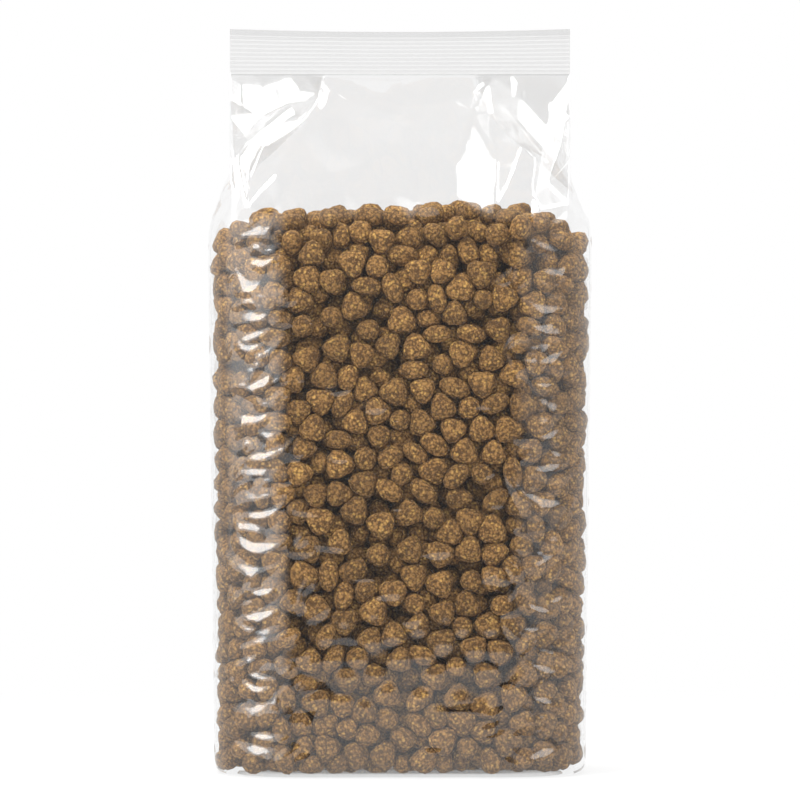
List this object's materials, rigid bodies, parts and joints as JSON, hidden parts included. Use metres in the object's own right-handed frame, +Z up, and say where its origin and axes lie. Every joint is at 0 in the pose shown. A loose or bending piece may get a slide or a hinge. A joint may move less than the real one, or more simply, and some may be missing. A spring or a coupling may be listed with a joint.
{
  "type": "pet food bag",
  "caption": "Clear side-gusset film bag with a ribbed heat seal across its top, standing on a block base and filled with brown kibble.",
  "frame": {"origin": "centre of the bag's footprint, on the surface it stands on", "axes": "+Z up towards the top seal, +X along the seal's length, -Y out of the front panel"},
  "size_m": [0.1694, 0.1044, 0.329],
  "materials": {
    "clear_film": "clear glossy polymer film, slightly crumpled",
    "kibble": "dry baked kibble, rough and crumbly, brown with tan flecks"
  },
  "bodies": {
    "root": {"bag_film": "clear_film", "kibble_fill": "kibble", "kibble_01": "kibble", "kibble_02": "kibble", "kibble_03": "kibble", "kibble_04": "kibble", "kibble_05": "kibble", "kibble_06": "kibble", "kibble_07": "kibble", "kibble_08": "kibble", "kibble_09": "kibble", "kibble_10": "kibble", "kibble_11": "kibble", "kibble_12": "kibble", "kibble_13": "kibble", "kibble_14": "kibble", "kibble_15": "kibble", "kibble_16": "kibble", "kibble_17": "kibble", "kibble_18": "kibble", "kibble_19": "kibble", "kibble_20": "kibble", "kibble_21": "kibble", "kibble_22": "kibble", "kibble_23": "kibble", "kibble_24": "kibble", "kibble_25": "kibble", "kibble_26": "kibble", "kibble_27": "kibble", "kibble_28": "kibble", "kibble_29": "kibble", "kibble_30": "kibble", "kibble_31": "kibble", "kibble_32": "kibble", "kibble_33": "kibble", "kibble_34": "kibble", "kibble_35": "kibble", "kibble_36": "kibble", "kibble_37": "kibble", "kibble_38": "kibble", "kibble_39": "kibble", "kibble_40": "kibble", "kibble_41": "kibble", "kibble_42": "kibble", "kibble_43": "kibble", "kibble_44": "kibble", "kibble_45": "kibble"}
  },
  "joints": []
}
